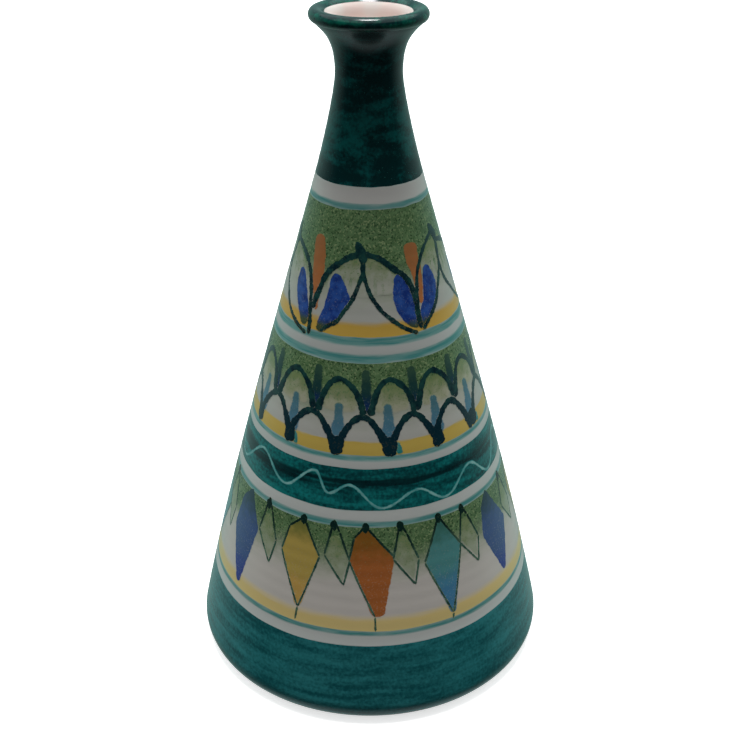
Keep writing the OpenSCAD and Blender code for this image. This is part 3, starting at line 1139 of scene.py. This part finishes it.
def rows_between(left_edge, right_edge):
    """Rows for a patch between two edges, each given by its corners from top to bottom."""
    heights = sorted({z for _, z in left_edge + right_edge}, reverse=True)
    sides = []
    for edge in (left_edge, right_edge):
        x, z = np.array(edge[::-1], float).T
        sides.append(np.interp(heights, z, x))
    return list(zip(heights, *sides))


def filled_lozenge(angle, colour, left, right, foot, stem, rng):
    """The fill of a lozenge, and the strokes of its outline. A blue one has no outline."""
    past = FOOT_RAN if colour == "orange" else FOOT_SIDE
    shoulder = (left[0] * SHOULDER[0], SHOULDER[1])
    bulge = [] if colour == "turquoise" else [shoulder]
    left_edge = [(-BLUNT_TOP, LOZENGE_TOP), *bulge, left, (foot[0] - FOOT_SIDE, foot[1])]
    right_edge = [(BLUNT_TOP, LOZENGE_TOP), right, (foot[0] + past, foot[1])]
    rows = rows_between(left_edge, right_edge)
    fill = patch(turned(rows, angle), rng, bend=left[1] != right[1])
    if colour == "blue":
        return fill, []
    top = (0, LOZENGE_TOP)
    left_side = [top, *bulge, left, foot]
    right_side = [top, right] if colour == "orange" else [top, right, foot]
    outline = []
    for side in (left_side, right_side, [foot, stem]):
        outline += straight(shifted(side, angle), rng)
    outline.append(patch(turned(TOP_BLOB, angle), rng))
    return fill, outline


def straight(corners, rng):
    """Thin straight lines from corner to corner."""
    return [line(pair, THIN_LINE, rng, THIN_COLUMNS) for pair in zip(corners, corners[1:])]


def lozenge_pigments():
    return {
        "blue": by_height(40, KITE_DEEP, 50, by_height(57, KITE_BLUE, 68, KITE_SLATE)),
        "yellow": by_height(46, KITE_GOLD, 52, by_height(60, KITE_YELLOW, 67, KITE_OLIVE)),
        "orange": by_height(54, KITE_ORANGE, 67, KITE_BROWN),
        "turquoise": by_height(43, KITE_SKY, 54, by_height(57, KITE_TEAL, 67, KITE_GREEN)),
    }


def make_lozenges():
    rng = np.random.default_rng(11)
    fills = {colour: [] for colour in LOZENGE_COLOURS}
    outlines, opens, washes = [], [], []
    for angle, colour, *corners in all_lozenges():
        fill, outline = filled_lozenge(angle, colour, *corners, rng)
        fills[colour].append(fill)
        outlines += outline
    for angle in spread(OPEN_FRONT, LOZENGE_COUNT):
        rise = rng.normal(0, OPEN_RISE)
        for side in (OPEN_LEFT, OPEN_RIGHT):
            opens += straight([(angle + x, z + rise) for x, z in side], rng)
        opens.append(patch(turned(TOP_BLOB, angle), rng))
        washes.append(patch(turned(OPEN_INSIDE, angle), rng))
    items = [("lozenges_" + colour, fills[colour], 0, "lozenge_" + colour, pigment, *AS_FILL)
             for colour, pigment in lozenge_pigments().items()]
    items.append(("lozenge_washes", washes, 0, "lozenge_wash", washed(50, 68), *AS_WASH))
    films(LOZENGE_ZONE, items)
    green = by_height(55, pooled(OUTLINE_GREEN, OUTLINE_THIN), 67, INK_BLOB)
    thin = painted("outline_green", LOZENGE_ZONE, green, *AS_OUTLINE)
    film("lozenge_outlines", outlines, 1, thin)
    film("open_lozenges", opens, 1, thin)


# ------ Camera, light and floor

# Metres, and degrees down and to the right
CAMERA_PLACE = (0.0, -0.3566, 0.2904)
CAMERA_DOWN = 28.18
CAMERA_TURN = 0.29
CAMERA_LENS = 57.6
SENSOR = 36.0
CLIP = (0.01, 100.0)
FLOOR_SIZE = 12.0
FLOOR_TONE = (0.90, 0.90, 0.90)
FLOOR_FIBRE = (0.93, 0.93, 0.93)
# The table is lit from under its white top, so the shadow on it is faint
TABLE_GLOW = 0.66
# Energy and width in degrees of a lamp in a small diffuser, the tent round it and the
# tent's white side walls
LAMP = (2.4, 20)
TENT = (1.3, 110)
WALL = (0.40, 30)
# Where the lamp stands, and the right-hand wall. They all shine on the origin
OVERHEAD = (0, 0, 2)
WALL_PLACE = (1, 0.6, 0.3)
# Dim surroundings: how they brighten from front to back, from -1 to 1
BACK_REACH = (-0.35, 0.6)
FRONT_COLOUR = (0.015, 0.02, 0.02)
BACK_COLOUR = (0.24, 0.38, 0.35)
# Light thrown back up by the table, from straight down at -1
BELOW_REACH = (-0.72, -0.95)
BELOW_COLOUR = (0.38, 0.50, 0.50)
# What the camera sees behind the floor
SEEN_COLOUR = (1.0, 1.0, 1.0)


def make_camera():
    data = bpy.data.cameras.new("camera")
    data.lens = CAMERA_LENS
    data.sensor_width = SENSOR
    data.clip_start, data.clip_end = CLIP
    camera = add_object("camera", data)
    camera.location = CAMERA_PLACE
    camera.rotation_euler = (math.radians(90 - CAMERA_DOWN), 0, math.radians(-CAMERA_TURN))
    bpy.context.scene.camera = camera


def make_floor():
    mesh = bpy.data.meshes.new("floor")
    half = FLOOR_SIZE / 2
    corners = [(-half, -half, 0), (half, -half, 0), (half, half, 0), (-half, half, 0)]
    mesh.from_pydata(corners, [], [(0, 1, 2, 3)])
    s = Shader("floor_paper")
    fibre = s.noise(3, seed=71, detail=3)
    colour = s.mix(fibre, FLOOR_TONE, FLOOR_FIBRE)
    paper = s.finish(colour, roughness=0.85, bump=0.01)
    shader = paper.node_tree.nodes["Principled BSDF"]
    shader.inputs["Emission Color"].default_value = (1, 1, 1, 1)
    shader.inputs["Emission Strength"].default_value = TABLE_GLOW
    mesh.materials.append(paper)
    floor = add_object("floor", mesh)
    floor.visible_diffuse = False
    floor.visible_glossy = False


def add_light(name, strength, place):
    data = bpy.data.lights.new(name, "SUN")
    data.energy = strength[0]
    data.angle = math.radians(strength[1])
    light = add_object(name, data)
    light.location = place
    light.visible_camera = False
    light.rotation_euler = (-Vector(place)).to_track_quat("-Z", "Y").to_euler()
    return light


def make_lights():
    add_light("overhead", LAMP, OVERHEAD)
    add_light("tent", TENT, OVERHEAD)
    x, y, z = WALL_PLACE
    for side, name in ((-1, "left_wall"), (1, "right_wall")):
        add_light(name, WALL, (side * x, y, z)).visible_glossy = False


def make_world():
    """A studio dark in front, dimly lit behind and below; white where the camera sees it."""
    world = bpy.data.worlds.new("surroundings")
    s = Shader("surroundings", world)
    towards = s.add("SeparateXYZ", Vector=s.place).outputs
    lit = s.mix(s.ramp(towards["Y"], *BACK_REACH), FRONT_COLOUR, BACK_COLOUR)
    lit = s.mix(s.ramp(towards["Z"], *BELOW_REACH), lit, BELOW_COLOUR)
    mixed = s.add("MixShader", Fac=s.add("LightPath").outputs["Is Camera Ray"])
    for socket, colour in zip(mixed.inputs[1:], (lit, SEEN_COLOUR)):
        s.feed(socket, s.add("Background", Color=colour).outputs[0])
    s.add("OutputWorld", Surface=mixed.outputs[0])
    scene = bpy.context.scene
    scene.world = world
    scene.view_settings.view_transform = "Standard"


make_camera()
make_lights()
make_world()
make_floor()
dress_clay()
make_coats()
make_rim()
make_lining()
make_leaves()
make_arches()
make_wave()
make_lozenges()
